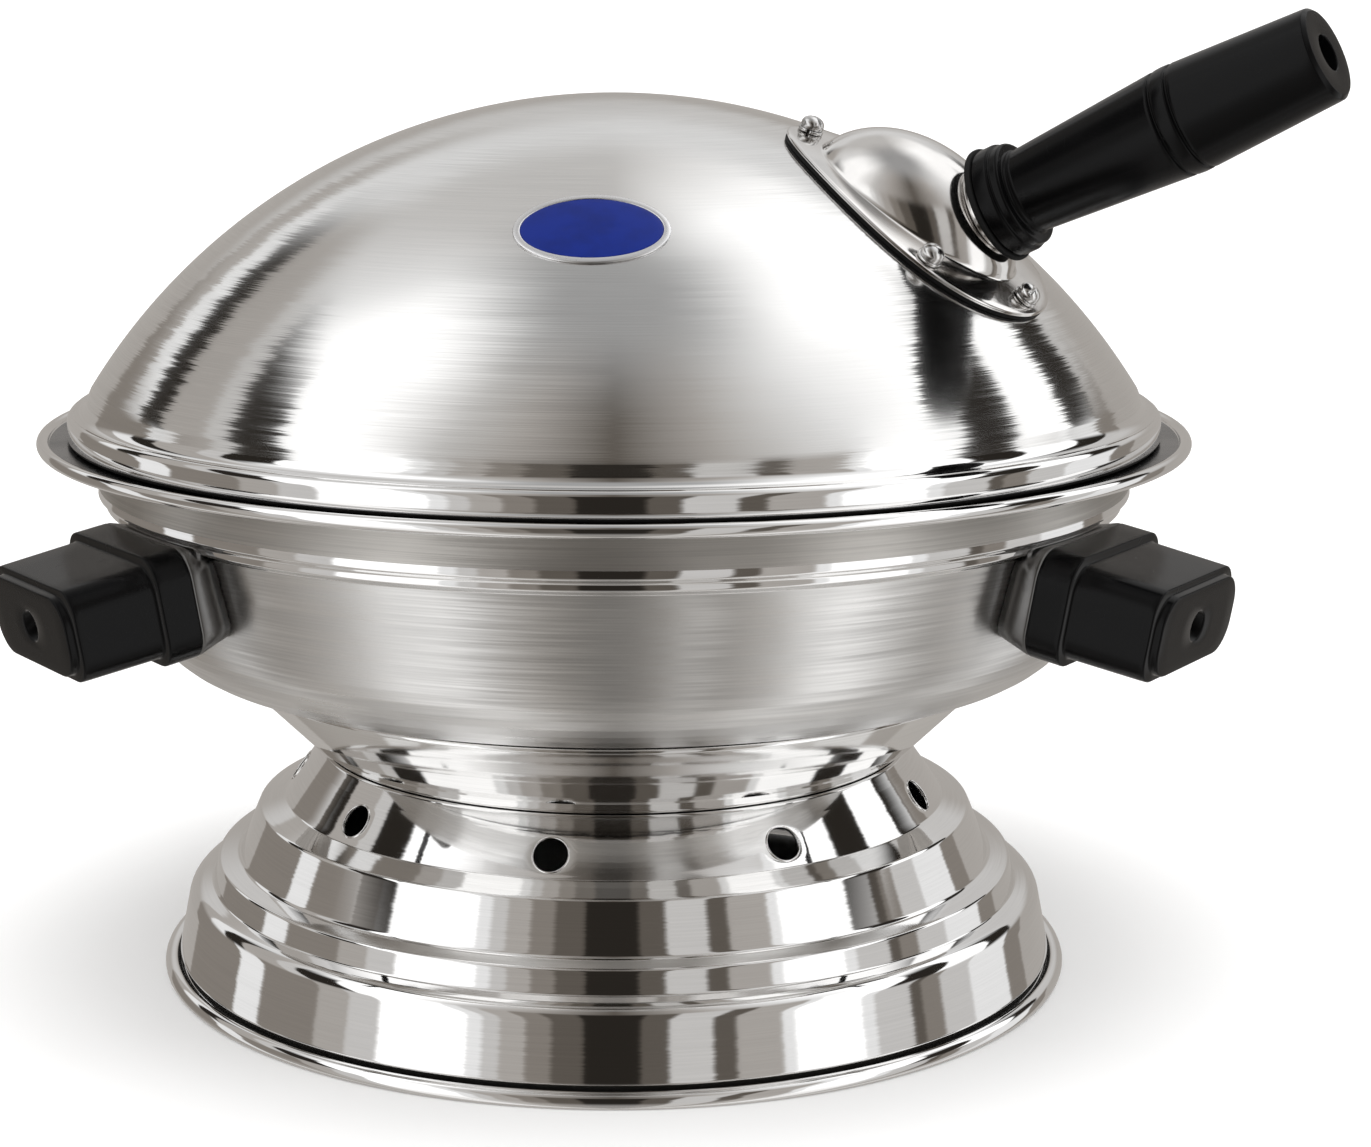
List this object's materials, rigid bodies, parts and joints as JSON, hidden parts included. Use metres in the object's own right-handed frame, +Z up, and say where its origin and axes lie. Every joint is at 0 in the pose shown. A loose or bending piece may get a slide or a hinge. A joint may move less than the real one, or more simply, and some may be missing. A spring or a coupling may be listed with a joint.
{
  "type": "gas tandoor",
  "caption": "Stove-top gas tandoor: a stepped steel base stand with round vents, a shallow bowl with black side grips and a lift-off domed lid with a turned black handle.",
  "frame": {"origin": "on the floor, on the axis of the base stand", "axes": "+Z up along the axis of the base, bowl and lid; -Y to the front, between the two side grips; +X to the right"},
  "size_m": [0.3496, 0.33, 0.2785],
  "materials": {
    "brushed_steel": "brushed round the axis",
    "polished_steel": "mirror polished",
    "pressed_steel": "plain pressed",
    "grill_wire": "bright wire",
    "black_moulding": "satin heat-proof moulding",
    "black_gasket": "matt",
    "badge": "enamelled blank plate"
  },
  "bodies": {
    "base": {"base_stand": "polished_steel"},
    "bowl": {"bowl": "brushed_steel", "bowl_collar": "polished_steel", "side_bracket_left": "pressed_steel", "side_bracket_right": "pressed_steel", "side_grip_left": "black_moulding", "side_grip_right": "black_moulding", "side_grip_screws": "pressed_steel", "side_grip_nuts": "pressed_steel", "flame_deflector": "brushed_steel", "deflector_legs": "brushed_steel", "deflector_rivets": "pressed_steel"},
    "grill": {"grill_rim": "grill_wire", "grill_bars": "grill_wire", "grill_cross_wires": "grill_wire", "grill_feet": "grill_wire"},
    "lid": {"lid_dome": "brushed_steel", "badge_plate": "badge", "handle_bracket": "polished_steel", "bracket_gasket": "black_gasket", "bracket_screws": "polished_steel", "bracket_washers": "pressed_steel", "bracket_nuts": "pressed_steel", "lid_grip": "black_moulding", "lid_grip_washer": "black_gasket", "lid_grip_ferrule": "polished_steel", "lid_grip_bolt": "pressed_steel", "lid_grip_nut": "pressed_steel"}
  },
  "joints": [
    {"name": "bowl_lift", "type": "slide", "parent": "base", "child": "bowl", "axis": [0, 0, 1], "range_m": [0, 0.1]},
    {"name": "grill_lift", "type": "slide", "parent": "bowl", "child": "grill", "axis": [0, 0, 1], "range_m": [0, 0.06]},
    {"name": "lid_lift", "type": "slide", "parent": "bowl", "child": "lid", "axis": [0, 0, 1], "range_m": [0, 0.2]}
  ]
}
